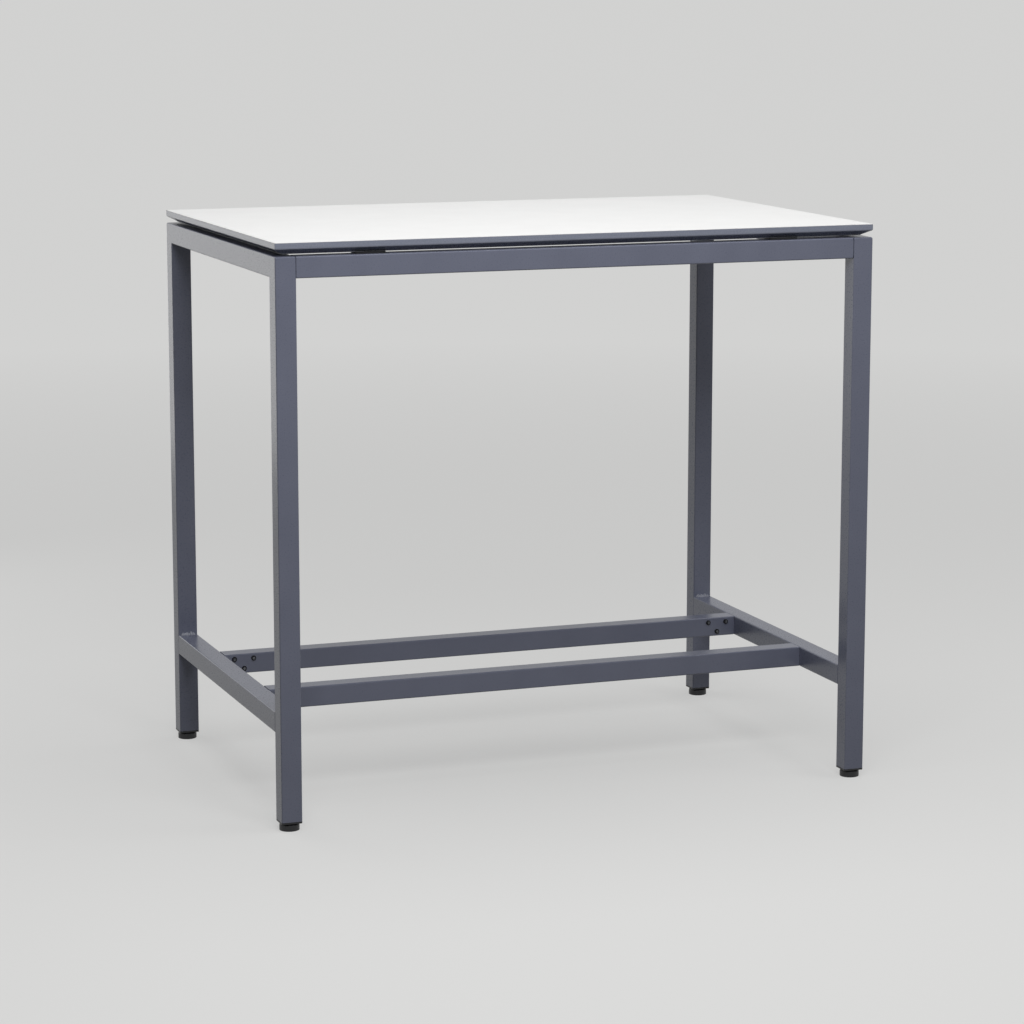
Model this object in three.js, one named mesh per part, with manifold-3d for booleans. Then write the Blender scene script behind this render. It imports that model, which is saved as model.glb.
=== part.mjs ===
// Standing meeting table: a white laminate top with a bevelled underside, floating on spacers above a
// frame of 40 mm square steel tube. Each end frame is two legs, a mitred end rail and a low crossbar.
// Two long rails and two footrest bars slide over spigots on the end frames, and each leg stands on a
// screw-in levelling glide.
// Frame: X along the long side, Y from front to rear, Z up, origin on the floor below the middle of the top.
import * as THREE from "three";
import { mergeVertices } from "three/addons/utils/BufferGeometryUtils.js";
import Module from "manifold-3d";

const wasm = await Module();
wasm.setup();

// Driving dimensions of the whole table, in millimetres
const WIDTH = 1200;
const DEPTH = 800;
const HEIGHT = 1100;
const FIT_GAP = 0.3; // between two pieces that meet
const MERGE_DISTANCE = 1e-4; // corners closer than this are one corner

// Table top: laminate, board and backing sheet
const TOP_THICKNESS = 22;
const LAMINATE = 0.8;
const GLUE_LINE = 0.1;
const EDGE_HEIGHT = 12; // upright edge, laminate included
const BEVEL_RUN = 17.3; // how far the bevel goes in under the top
const TOP_CORNER_RADIUS = 1.5;

// Frame tube and its places
const TUBE = 40;
const WALL = 2;
const TUBE_RADIUS = 2.5;
const DRESSED = 4.5; // how far round an outer corner of an end frame its weld was dressed
const TOP_GAP = 3.4; // shadow gap between the frame and the top
const RAIL_SEAM = 1.3; // open seam at each end of a long rail that lies midway
const RAIL_SHIFT = -1.15; // the long rails lie tighter against the left-hand end frame
const LEG_BOTTOM = 18.3;
const FOOTREST_TOP = 223;
const FOOTREST_SPACING = 326; // centre to centre of the two footrest bars

// Spigots inside the long tubes, and the three socket screws at each footrest joint
const SPIGOT_LENGTH = 75;
const SPIGOT_WALL = 4;
const SPIGOT_RADIUS = 5;
const SCREW_FIRST = 20; // from the end of the bar to the first screw
const SCREW_PITCH = 20;
const SCREW_RISE = 10; // above and below the middle of the bar
const SCREW_RADIUS = 3;
const SCREW_LENGTH = 9;
const SCREW_HEAD_RADIUS = 5.25;
const SCREW_HEAD_HEIGHT = 3.3;
const SOCKET_RADIUS = 2.3; // across the corners of the hexagon, halved
const SOCKET_DEPTH = 2;
const SOCKET_RIM = 0.8; // flat ring round the socket
const HOLE_CLEARANCE = 0.35;

// Spacers between the frame and the top, each with a screw up into the board
const SPACER_LENGTH = 60;
const SPACER_WIDTH = 28;
const SPACER_RADIUS = 3;
const SPACER_FROM_MIDDLE = 415;
const SPACER_Y = 376;
const TOP_SCREW_Y = 373;
const TOP_SCREW_LENGTH = 17;
const PILOT_SPARE = 1; // how much deeper a pilot hole in the board is than its screw
const ACCESS_RADIUS = 7; // hole for the screwdriver in the underside of a long rail

// Levelling feet: end cap, captive nut, threaded stud and swivelling pad
const CAP_PLATE = 3.2;
const CAP_PLUG_HEIGHT = 22;
const NUT_ACROSS_FLATS = 13;
const NUT_HEIGHT = 6.5;
const STUD_RADIUS = 4;
const STUD_TOP = 50;
const STUD_FLANGE_RADIUS = 7;
const STUD_FLANGE_HEIGHT = 3;
const STUD_FLANGE_Z = 4.4;
const STUD_CHAMFER = 1;
const STUD_SLOT_WIDTH = 1.4; // screwdriver slot in the top of the stud
const STUD_SLOT_DEPTH = 1.2;
const PAD_RADIUS = 19;
const PAD_RIM_HEIGHT = 9.5;
const PAD_SHOULDER_HEIGHT = 13;
const PAD_NECK_RADIUS = 11;
const PAD_CHAMFER = 1; // round the foot of the pad, and at the root of its neck
const PAD_TOP_GAP = 0.6; // left between the pad and the end cap when it is screwed right in
const RUNNING_GAP = 0.4;

// Facets of the round shapes
const CORNER_STEPS = 2; // twice this many facets in each round corner
const SCREW_STEPS = 12;
const PAD_STEPS = 20;
const DRESSED_STEPS = 24;

// Places that follow from the driving dimensions
const TOP_UNDERSIDE = HEIGHT - TOP_THICKNESS;
const FRAME_TOP = TOP_UNDERSIDE - TOP_GAP;
const RAIL_Z = FRAME_TOP - TUBE / 2;
const FOOTREST_Z = FOOTREST_TOP - TUBE / 2;
const LEG_X = (WIDTH - TUBE) / 2;
const LEG_Y = (DEPTH - TUBE) / 2;
const BAR_Y = FOOTREST_SPACING / 2;
const BAR_LENGTH = WIDTH - 2 * TUBE - 2 * FIT_GAP;
const RAIL_LENGTH = WIDTH - 2 * TUBE - 2 * RAIL_SEAM;
const BORE = TUBE - 2 * WALL;
const SCREW_HOLE_RADIUS = SCREW_RADIUS + HOLE_CLEARANCE;
const CAP_PLATE_TOP = LEG_BOTTOM - FIT_GAP;
const CAP_PLATE_BOTTOM = CAP_PLATE_TOP - CAP_PLATE;
const CAP_TOP = CAP_PLATE_TOP + CAP_PLUG_HEIGHT;

const X_AXIS = new THREE.Vector3(1, 0, 0);
const Y_AXIS = new THREE.Vector3(0, 1, 0);
const Z_AXIS = new THREE.Vector3(0, 0, 1);
const ENDS = { left: -1, right: 1 };
const SIDES = { front: -1, rear: 1 };

// Each finish is a function, so that every piece has a material of its own
const FINISHES = {
  whiteLaminate: () => new THREE.MeshStandardMaterial({ color: 0xf4f4f5, roughness: 0.45, metalness: 0 }),
  greyBoard: () => new THREE.MeshStandardMaterial({ color: 0x767a82, roughness: 0.6, metalness: 0 }),
  greyBacking: () => new THREE.MeshStandardMaterial({ color: 0x8b8e94, roughness: 0.6, metalness: 0 }),
  powderCoat: () => new THREE.MeshStandardMaterial({ color: 0x676b78, roughness: 0.5, metalness: 0.1 }),
  bareSteel: () => new THREE.MeshStandardMaterial({ color: 0xa4a6a8, roughness: 0.4, metalness: 0.9 }),
  blackSteel: () => new THREE.MeshStandardMaterial({ color: 0x1d1e20, roughness: 0.45, metalness: 0.7 }),
  blackPlastic: () => new THREE.MeshStandardMaterial({ color: 0x18191b, roughness: 0.6, metalness: 0 }),
};

const table = new THREE.Group();

// Adds one named piece to the table
function addPiece(name, body, finish, position = [0, 0, 0]) {
  const mesh = new THREE.Mesh(geometryOf(body), FINISHES[finish]());
  mesh.name = name;
  mesh.position.set(...position);
  table.add(mesh);
}

// Turns a closed geometry into a solid that can be joined and cut
function solidOf(geometry) {
  const bare = geometry.clone();
  bare.deleteAttribute("normal");
  bare.deleteAttribute("uv");
  const merged = mergeVertices(bare, MERGE_DISTANCE);
  const vertProperties = new Float32Array(merged.attributes.position.array);
  const triVerts = new Uint32Array(merged.index.array);
  return new wasm.Manifold(new wasm.Mesh({ numProp: 3, vertProperties, triVerts }));
}

// Turns a solid back into a geometry with flat-shaded faces
function geometryOf(body) {
  const mesh = body.getMesh();
  const geometry = new THREE.BufferGeometry();
  geometry.setAttribute("position", new THREE.BufferAttribute(mesh.vertProperties, 3));
  geometry.setIndex(new THREE.BufferAttribute(mesh.triVerts, 1));
  const faceted = geometry.toNonIndexed();
  faceted.computeVertexNormals();
  return faceted;
}

// Rectangle about the origin with round corners
function roundedRectangle(width, height, radius) {
  const x = width / 2 - radius;
  const y = height / 2 - radius;
  const outline = new THREE.Shape();
  outline.absarc(x, y, radius, 0, Math.PI / 2);
  outline.absarc(-x, y, radius, Math.PI / 2, Math.PI);
  outline.absarc(-x, -y, radius, Math.PI, Math.PI * 1.5);
  outline.absarc(x, -y, radius, Math.PI * 1.5, Math.PI * 2);
  outline.closePath();
  return outline;
}

// Extrudes an outline along Z from the origin
function extruded(outline, depth) {
  return new THREE.ExtrudeGeometry(outline, { depth, bevelEnabled: false, curveSegments: CORNER_STEPS });
}

// Prism about the origin along an axis; the outline's x and y become the next two axes in order
function prism(outline, length, axis) {
  const geometry = extruded(outline, length).translate(0, 0, -length / 2);
  const turn = new THREE.Matrix4();
  if (axis === X_AXIS) turn.makeBasis(Y_AXIS, Z_AXIS, X_AXIS);
  if (axis === Y_AXIS) turn.makeBasis(Z_AXIS, X_AXIS, Y_AXIS);
  return solidOf(geometry.applyMatrix4(turn));
}

// Square tube with edges that are round outside and inside, about the origin along an axis
function squareTube(length, axis, size = TUBE, wall = WALL, radius = TUBE_RADIUS) {
  const outline = roundedRectangle(size, size, radius);
  const bore = size - 2 * wall;
  outline.holes.push(roundedRectangle(bore, bore, radius - wall));
  return prism(outline, length, axis);
}

// Round bar along Y or Z with its middle at a point
function rod(radius, length, axis, middle, steps = SCREW_STEPS) {
  const geometry = new THREE.CylinderGeometry(radius, radius, length, steps);
  if (axis === Z_AXIS) geometry.rotateX(Math.PI / 2);
  return solidOf(geometry.translate(...middle));
}

// Turned shape about Z from a profile of [radius, height] points that starts and ends on the axis
function turned(profile, steps) {
  const points = profile.map(([radius, height]) => new THREE.Vector2(radius, height));
  return solidOf(new THREE.LatheGeometry(points, steps).rotateX(Math.PI / 2));
}

// The three screw places at one end of a bar, two high and one low, as [x, z] from the bar's middle
function screwPlaces(end) {
  const reach = BAR_LENGTH / 2 + FIT_GAP - SCREW_FIRST;
  const rises = [SCREW_RISE, -SCREW_RISE, SCREW_RISE];
  return rises.map((rise, step) => [end * (reach - step * SCREW_PITCH), rise]);
}

// Table top
function addTop() {
  const sheetZ = HEIGHT - LAMINATE / 2;
  const outline = roundedRectangle(WIDTH, DEPTH, TOP_CORNER_RADIUS);
  addPiece("top_laminate", prism(outline, LAMINATE, Z_AXIS), "whiteLaminate", [0, 0, sheetZ]);

  const coreTop = HEIGHT - LAMINATE - GLUE_LINE;
  const coreBottom = TOP_UNDERSIDE + LAMINATE + GLUE_LINE;
  const bevelTop = HEIGHT - EDGE_HEIGHT;
  const block = new THREE.BoxGeometry(WIDTH, DEPTH, 2, 1, 1, 2); // three levels of corners, at -1, 0 and 1
  const corner = block.attributes.position;
  for (let i = 0; i < corner.count; i++) {
    const level = Math.round(corner.getZ(i));
    const inset = level < 0 ? BEVEL_RUN : 0;
    corner.setX(i, Math.sign(corner.getX(i)) * (WIDTH / 2 - inset));
    corner.setY(i, Math.sign(corner.getY(i)) * (DEPTH / 2 - inset));
    corner.setZ(i, [coreBottom, bevelTop, coreTop][level + 1]);
  }
  const column = prism(outline, 2 * HEIGHT, Z_AXIS);
  const flat = roundedRectangle(WIDTH - 2 * BEVEL_RUN, DEPTH - 2 * BEVEL_RUN, TOP_CORNER_RADIUS);
  let core = solidOf(block).intersect(column);
  let backing = prism(flat, LAMINATE, Z_AXIS).translate([0, 0, TOP_UNDERSIDE + LAMINATE / 2]);
  const pilotLength = 2 * (TOP_SCREW_LENGTH - TOP_GAP - WALL + PILOT_SPARE);
  for (const end of Object.values(ENDS)) {
    for (const side of Object.values(SIDES)) {
      const middle = [end * SPACER_FROM_MIDDLE, side * TOP_SCREW_Y, TOP_UNDERSIDE];
      const pilot = rod(SCREW_HOLE_RADIUS, pilotLength, Z_AXIS, middle);
      core = core.subtract(pilot);
      backing = backing.subtract(pilot);
    }
  }
  addPiece("board_core", core, "greyBoard");
  addPiece("backing_sheet", backing, "greyBacking");
}

// What was ground away where the welds at the outer corners of an end frame were dressed
function dressedAway() {
  const radius = Math.SQRT2 * (DRESSED - TUBE_RADIUS * (1 - Math.SQRT1_2));
  const ball = new THREE.SphereGeometry(radius, DRESSED_STEPS, DRESSED_STEPS / 2);
  const block = new THREE.BoxGeometry(2 * DRESSED, 2 * DRESSED, 2 * DRESSED);
  const corners = [];
  for (const face of [-1, 1]) {
    for (const side of Object.values(SIDES)) {
      const place = [face * (TUBE / 2 - DRESSED), side * (DEPTH / 2 - DRESSED), FRAME_TOP - DRESSED];
      const corner = solidOf(block).translate([face * DRESSED, side * DRESSED, DRESSED]);
      corners.push(corner.subtract(solidOf(ball)).translate(place));
    }
  }
  return wasm.Manifold.union(corners);
}

// End frames: legs and end rails meet in mitres under one rounded outer corner, with a crossbar below
function addEndFrames() {
  const frameOutline = roundedRectangle(DEPTH, 2 * FRAME_TOP, TUBE_RADIUS);
  const outer = prism(frameOutline, 2 * TUBE, X_AXIS).subtract(dressedAway());
  const overCut = 2 * TUBE;
  const mitre = (side, shift) => {
    const corner = new THREE.Vector2(side * (DEPTH / 2), FRAME_TOP + shift);
    const wedge = new THREE.Shape();
    wedge.moveTo(corner.x + side * overCut, corner.y + overCut);
    wedge.lineTo(corner.x - side * overCut, corner.y - overCut);
    wedge.lineTo(corner.x - side * overCut, corner.y + overCut);
    wedge.closePath();
    return prism(wedge, 2 * TUBE, X_AXIS);
  };
  const halfGap = FIT_GAP / 2;
  const legLength = FRAME_TOP - LEG_BOTTOM;
  for (const [endName, end] of Object.entries(ENDS)) {
    let rail = squareTube(DEPTH, Y_AXIS).translate([0, 0, RAIL_Z]).intersect(outer);
    for (const [sideName, side] of Object.entries(SIDES)) {
      const middle = [0, side * LEG_Y, LEG_BOTTOM + legLength / 2];
      const upright = squareTube(legLength, Z_AXIS).translate(middle);
      const leg = upright.intersect(outer).subtract(mitre(side, -halfGap));
      addPiece(`leg_${sideName}_${endName}`, leg, "powderCoat", [end * LEG_X, 0, 0]);
      rail = rail.intersect(mitre(side, halfGap).add(farHalf(side)));
    }
    addPiece(`end_rail_${endName}`, rail, "powderCoat", [end * LEG_X, 0, 0]);
    const crossbar = squareTube(DEPTH - 2 * TUBE - 2 * FIT_GAP, Y_AXIS);
    addPiece(`crossbar_${endName}`, crossbar, "powderCoat", [end * LEG_X, 0, FOOTREST_Z]);
  }
}

// Block that holds everything on the other side of a mitre, so that only one end of a rail is cut
function farHalf(side) {
  const block = new THREE.BoxGeometry(2 * TUBE, DEPTH, 4 * TUBE);
  return solidOf(block.translate(0, -side * (DEPTH / 2 - LEG_Y + TUBE), RAIL_Z));
}

// Long rails under the top, with holes for the screws that hold it
function addLongRails() {
  for (const [sideName, side] of Object.entries(SIDES)) {
    let rail = squareTube(RAIL_LENGTH, X_AXIS);
    const y = side * (TOP_SCREW_Y - LEG_Y);
    for (const end of Object.values(ENDS)) {
      const x = end * SPACER_FROM_MIDDLE - RAIL_SHIFT;
      rail = rail.subtract(rod(SCREW_HOLE_RADIUS, TUBE, Z_AXIS, [x, y, TUBE / 2]));
      rail = rail.subtract(rod(ACCESS_RADIUS, TUBE, Z_AXIS, [x, y, -TUBE / 2]));
    }
    addPiece(`long_rail_${sideName}`, rail, "powderCoat", [RAIL_SHIFT, side * LEG_Y, RAIL_Z]);
  }
}

// Footrest bars, with their screw holes in the faces that look at each other
function addFootrestBars() {
  for (const [sideName, side] of Object.entries(SIDES)) {
    let bar = squareTube(BAR_LENGTH, X_AXIS);
    for (const end of Object.values(ENDS)) {
      for (const [x, z] of screwPlaces(end)) {
        bar = bar.subtract(rod(SCREW_HOLE_RADIUS, 4 * WALL, Y_AXIS, [x, (-side * TUBE) / 2, z]));
      }
    }
    addPiece(`footrest_bar_${sideName}`, bar, "powderCoat", [0, side * BAR_Y, FOOTREST_Z]);
  }
}

// Spigots: short thick tubes on the end frames that the long tubes slide over
function addSpigots() {
  const size = BORE - 2 * FIT_GAP;
  for (const [endName, end] of Object.entries(ENDS)) {
    const x = end * (WIDTH / 2 - TUBE - FIT_GAP - SPIGOT_LENGTH / 2);
    for (const [sideName, side] of Object.entries(SIDES)) {
      const plain = () => squareTube(SPIGOT_LENGTH, X_AXIS, size, SPIGOT_WALL, SPIGOT_RADIUS);
      addPiece(`rail_spigot_${sideName}_${endName}`, plain(), "powderCoat", [x, side * LEG_Y, RAIL_Z]);
      let drilled = plain();
      for (const [screwX, z] of screwPlaces(end)) {
        const middle = [screwX - x, (-side * size) / 2, z];
        drilled = drilled.subtract(rod(SCREW_HOLE_RADIUS, 4 * SPIGOT_WALL, Y_AXIS, middle));
      }
      const place = [x, side * BAR_Y, FOOTREST_Z];
      addPiece(`footrest_spigot_${sideName}_${endName}`, drilled, "powderCoat", place);
    }
  }
}

// Button-head socket screw along +Z, with the underside of its head at the origin
function socketScrew(length) {
  const crownRadius = SOCKET_RADIUS + SOCKET_RIM;
  const dome = [45, 90].map((degrees) => {
    const angle = THREE.MathUtils.degToRad(degrees);
    const radius = crownRadius + (SCREW_HEAD_RADIUS - crownRadius) * Math.cos(angle);
    return [radius, SCREW_HEAD_HEIGHT * Math.sin(angle)];
  });
  const profile = [
    [0, -length],
    [SCREW_RADIUS, -length],
    [SCREW_RADIUS, 0],
    [SCREW_HEAD_RADIUS, 0],
    ...dome,
    [0, SCREW_HEAD_HEIGHT],
  ];
  const socket = rod(SOCKET_RADIUS, 2 * SOCKET_DEPTH, Z_AXIS, [0, 0, SCREW_HEAD_HEIGHT], 6);
  return turned(profile, SCREW_STEPS).subtract(socket);
}

// Three screws at each end of each footrest bar
function addFootrestScrews() {
  for (const [endName, end] of Object.entries(ENDS)) {
    for (const [sideName, side] of Object.entries(SIDES)) {
      const y = side * (BAR_Y - TUBE / 2) - side * GLUE_LINE;
      const screw = socketScrew(SCREW_LENGTH).rotate([side * 90, 0, 0]);
      screwPlaces(end).forEach(([x, z], index) => {
        const name = `footrest_screw_${sideName}_${endName}_${index + 1}`;
        addPiece(name, screw, "blackSteel", [x, y, FOOTREST_Z + z]);
      });
    }
  }
}

// Spacers on the long rails, and the screws through them into the board
function addSpacers() {
  const height = TOP_GAP - 2 * FIT_GAP;
  for (const [endName, end] of Object.entries(ENDS)) {
    for (const [sideName, side] of Object.entries(SIDES)) {
      const x = end * SPACER_FROM_MIDDLE;
      const block = prism(roundedRectangle(SPACER_LENGTH, SPACER_WIDTH, SPACER_RADIUS), height, Z_AXIS);
      const hole = rod(SCREW_HOLE_RADIUS, TUBE, Z_AXIS, [0, side * (TOP_SCREW_Y - SPACER_Y), 0]);
      const place = [x, side * SPACER_Y, FRAME_TOP + TOP_GAP / 2];
      addPiece(`spacer_${sideName}_${endName}`, block.subtract(hole), "blackPlastic", place);
      const seat = FRAME_TOP - WALL - FIT_GAP;
      const screw = socketScrew(TOP_SCREW_LENGTH).rotate([180, 0, 0]);
      addPiece(`top_screw_${sideName}_${endName}`, screw, "blackSteel", [x, side * TOP_SCREW_Y, seat]);
    }
  }
}

// Plate under the leg's end and a plug inside it, with a pocket for the nut
function endCap() {
  const plug = BORE - 2 * FIT_GAP;
  const plate = prism(roundedRectangle(TUBE, TUBE, TUBE_RADIUS), CAP_PLATE, Z_AXIS);
  const bodyHeight = CAP_PLUG_HEIGHT + CAP_PLATE / 2;
  const body = prism(roundedRectangle(plug, plug, TUBE_RADIUS - WALL), bodyHeight, Z_AXIS);
  const nutHole = NUT_ACROSS_FLATS / Math.sqrt(3) + 2 * FIT_GAP;
  return plate
    .translate([0, 0, CAP_PLATE_TOP - CAP_PLATE / 2])
    .add(body.translate([0, 0, CAP_TOP - bodyHeight / 2]))
    .subtract(rod(STUD_RADIUS + 2 * RUNNING_GAP, 4 * TUBE, Z_AXIS, [0, 0, 0], PAD_STEPS))
    .subtract(rod(nutHole, 2 * (NUT_HEIGHT + FIT_GAP), Z_AXIS, [0, 0, CAP_TOP], 6));
}

// Hexagon nut that the end cap holds
function captiveNut() {
  const middle = [0, 0, CAP_TOP - NUT_HEIGHT / 2];
  const hexagon = rod(NUT_ACROSS_FLATS / Math.sqrt(3), NUT_HEIGHT, Z_AXIS, middle, 6);
  return hexagon.subtract(rod(STUD_RADIUS + RUNNING_GAP, 4 * TUBE, Z_AXIS, [0, 0, 0], PAD_STEPS));
}

// Stud with a flange that turns inside the pad
function threadedStud() {
  const flangeTop = STUD_FLANGE_Z + STUD_FLANGE_HEIGHT;
  const profile = [
    [0, STUD_FLANGE_Z],
    [STUD_FLANGE_RADIUS, STUD_FLANGE_Z],
    [STUD_FLANGE_RADIUS, flangeTop],
    [STUD_RADIUS, flangeTop],
    [STUD_RADIUS, STUD_TOP - STUD_CHAMFER],
    [STUD_RADIUS - STUD_CHAMFER, STUD_TOP],
    [0, STUD_TOP],
  ];
  const slot = new THREE.BoxGeometry(3 * STUD_RADIUS, STUD_SLOT_WIDTH, 2 * STUD_SLOT_DEPTH);
  return turned(profile, PAD_STEPS).subtract(solidOf(slot.translate(0, 0, STUD_TOP)));
}

// Round pad, closed below, that the stud's flange is snapped into
function glidePad() {
  const top = CAP_PLATE_BOTTOM - PAD_TOP_GAP;
  const flangeTop = STUD_FLANGE_Z + STUD_FLANGE_HEIGHT + RUNNING_GAP;
  const cavity = STUD_FLANGE_RADIUS + RUNNING_GAP;
  const bore = STUD_RADIUS + RUNNING_GAP;
  const shoulder = PAD_SHOULDER_HEIGHT - PAD_RIM_HEIGHT;
  const crown = [30, 60, 90].map((degrees) => {
    const angle = THREE.MathUtils.degToRad(degrees);
    return [PAD_RADIUS - shoulder * (1 - Math.cos(angle)), PAD_RIM_HEIGHT + shoulder * Math.sin(angle)];
  });
  const profile = [
    [0, 0],
    [PAD_RADIUS - PAD_CHAMFER, 0],
    [PAD_RADIUS, PAD_CHAMFER],
    [PAD_RADIUS, PAD_RIM_HEIGHT],
    ...crown,
    [PAD_NECK_RADIUS, PAD_SHOULDER_HEIGHT + PAD_CHAMFER],
    [PAD_NECK_RADIUS, top],
    [bore, top],
    [bore, flangeTop],
    [cavity, flangeTop],
    [cavity, STUD_FLANGE_Z - RUNNING_GAP],
    [0, STUD_FLANGE_Z - RUNNING_GAP],
  ];
  return turned(profile, PAD_STEPS);
}

// A levelling foot under each leg
function addFeet() {
  for (const [endName, end] of Object.entries(ENDS)) {
    for (const [sideName, side] of Object.entries(SIDES)) {
      const place = [end * LEG_X, side * LEG_Y, 0];
      const corner = `${sideName}_${endName}`;
      addPiece(`leg_cap_${corner}`, endCap(), "blackPlastic", place);
      addPiece(`foot_nut_${corner}`, captiveNut(), "bareSteel", place);
      addPiece(`glide_stud_${corner}`, threadedStud(), "bareSteel", place);
      addPiece(`glide_pad_${corner}`, glidePad(), "blackPlastic", place);
    }
  }
}

addTop();
addEndFrames();
addLongRails();
addFootrestBars();
addSpigots();
addFootrestScrews();
addSpacers();
addFeet();

export default table;
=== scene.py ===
"""Standing meeting table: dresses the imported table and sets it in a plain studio.

Lengths are metres in the shared frame: X along the table, Y from front to rear, Z up from the floor.
"""

import logging
import math
from collections.abc import Mapping, Sequence
from dataclasses import dataclass
from enum import Enum
from random import Random
from typing import Any

import bmesh
import bpy
from mathutils import Matrix, Vector


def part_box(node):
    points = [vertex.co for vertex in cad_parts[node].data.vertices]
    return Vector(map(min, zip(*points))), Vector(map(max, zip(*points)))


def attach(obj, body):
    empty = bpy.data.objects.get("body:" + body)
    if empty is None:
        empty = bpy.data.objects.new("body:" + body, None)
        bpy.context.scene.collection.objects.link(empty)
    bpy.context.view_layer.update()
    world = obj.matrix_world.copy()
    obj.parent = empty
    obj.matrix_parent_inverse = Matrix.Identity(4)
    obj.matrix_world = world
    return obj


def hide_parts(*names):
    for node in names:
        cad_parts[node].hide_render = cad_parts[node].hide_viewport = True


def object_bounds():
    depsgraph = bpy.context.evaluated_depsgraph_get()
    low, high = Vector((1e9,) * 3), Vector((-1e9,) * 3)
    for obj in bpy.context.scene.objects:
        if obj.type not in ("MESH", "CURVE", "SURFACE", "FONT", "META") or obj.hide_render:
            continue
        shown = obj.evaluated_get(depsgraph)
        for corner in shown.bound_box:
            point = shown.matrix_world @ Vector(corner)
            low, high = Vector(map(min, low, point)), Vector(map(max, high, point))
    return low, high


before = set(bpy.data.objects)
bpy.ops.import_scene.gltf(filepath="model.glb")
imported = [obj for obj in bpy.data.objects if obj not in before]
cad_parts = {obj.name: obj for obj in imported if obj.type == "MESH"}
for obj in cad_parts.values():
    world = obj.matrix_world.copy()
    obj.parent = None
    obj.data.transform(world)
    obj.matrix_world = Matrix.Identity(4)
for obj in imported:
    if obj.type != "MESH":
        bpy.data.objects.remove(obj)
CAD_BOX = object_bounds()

LOG = logging.getLogger("meeting_table")

MM = 0.001
WELD_DISTANCE = 1e-6  # corners closer than this are one corner
FLAT_ANGLE = math.radians(0.4)  # facets that differ by less are one flat face
CREASE_ANGLE = math.radians(34)  # edges sharper than this stay sharp
FACE_WEIGHT = 100  # the largest faces alone set the shading of their corners
ARC_CUT = 0.3  # how far in the middle of a quarter round lies, as part of its radius
NOISE_DETAIL = 4.0
TABLE_BODY = "table"

# Sockets of the colour mix node, whose names repeat
MIX_FACTOR, MIX_FIRST, MIX_SECOND, MIX_RESULT = 0, 6, 7, 2


class Slot(Enum):
    """The record's material slots."""

    LAMINATE = "white_laminate"
    BOARD = "edge_board"
    BACKING = "backing_sheet"
    COAT = "powder_coat"
    ZINC = "zinc_steel"
    BLACK_STEEL = "black_steel"
    BLACK_PLASTIC = "black_plastic"


class End(Enum):
    """The two ends of the table, along X."""

    LEFT = "left"
    RIGHT = "right"


class Side(Enum):
    """The two long sides of the table, along Y."""

    FRONT = "front"
    REAR = "rear"

    @property
    def sign(self) -> int:
        """The side of the origin that this long side is on."""
        return -1 if self is Side.FRONT else 1


def linear(colour: str) -> tuple[float, float, float, float]:
    """Turns an sRGB hex colour into linear light.

    Args:
        colour: six hex digits after a #.

    Returns:
        Red, green, blue and an alpha of 1.
    """
    parts = (int(colour[i : i + 2], 16) / 255 for i in (1, 3, 5))
    red, green, blue = (p / 12.92 if p <= 0.04045 else ((p + 0.055) / 1.055) ** 2.4 for p in parts)
    return red, green, blue, 1.0


def per_metre(size_mm: float) -> float:
    """The texture scale that makes a pattern's features this many millimetres across."""
    return 1 / (size_mm * MM)


def add_node(
    tree: bpy.types.NodeTree, kind: str, inputs: Mapping[Any, Any] | None = None, **settings: Any
) -> bpy.types.Node:
    """Adds a node with its settings and links.

    Args:
        tree: the node tree that it goes into.
        kind: Blender's name of the node type.
        inputs: socket name or number to a value, or to the output socket that feeds it.
        settings: the node's own properties.

    Returns:
        The new node.
    """
    node = tree.nodes.new(kind)
    for name, value in settings.items():
        setattr(node, name, value)
    for name, value in (inputs or {}).items():
        if isinstance(value, bpy.types.NodeSocket):
            tree.links.new(value, node.inputs[name])
        else:
            node.inputs[name].default_value = value
    return node


def add_pattern(
    tree: bpy.types.NodeTree,
    place: bpy.types.NodeSocket,
    size_mm: Sequence[float],
    band: tuple[float, float] = (0.3, 0.7),
    values: tuple[float, float] = (0.0, 1.0),
) -> bpy.types.NodeSocket:
    """Adds a cloudy pattern of a real size.

    Args:
        tree: the node tree that it goes into.
        place: the point on the table, in metres.
        size_mm: how large its features are along X, Y and Z.
        band: the part of the noise that is spread over the values.
        values: the values at the two ends of that band.

    Returns:
        The socket that gives the pattern.
    """
    sized = add_node(
        tree, "ShaderNodeMapping", {"Vector": place, "Scale": [per_metre(size) for size in size_mm]}
    )
    noise = add_node(
        tree, "ShaderNodeTexNoise", {"Vector": sized.outputs["Vector"], "Scale": 1.0, "Detail": NOISE_DETAIL}
    )
    spread = add_node(
        tree,
        "ShaderNodeMapRange",
        {
            "Value": noise.outputs["Fac"],
            "From Min": band[0],
            "From Max": band[1],
            "To Min": values[0],
            "To Max": values[1],
        },
    )
    return spread.outputs["Result"]


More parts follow.
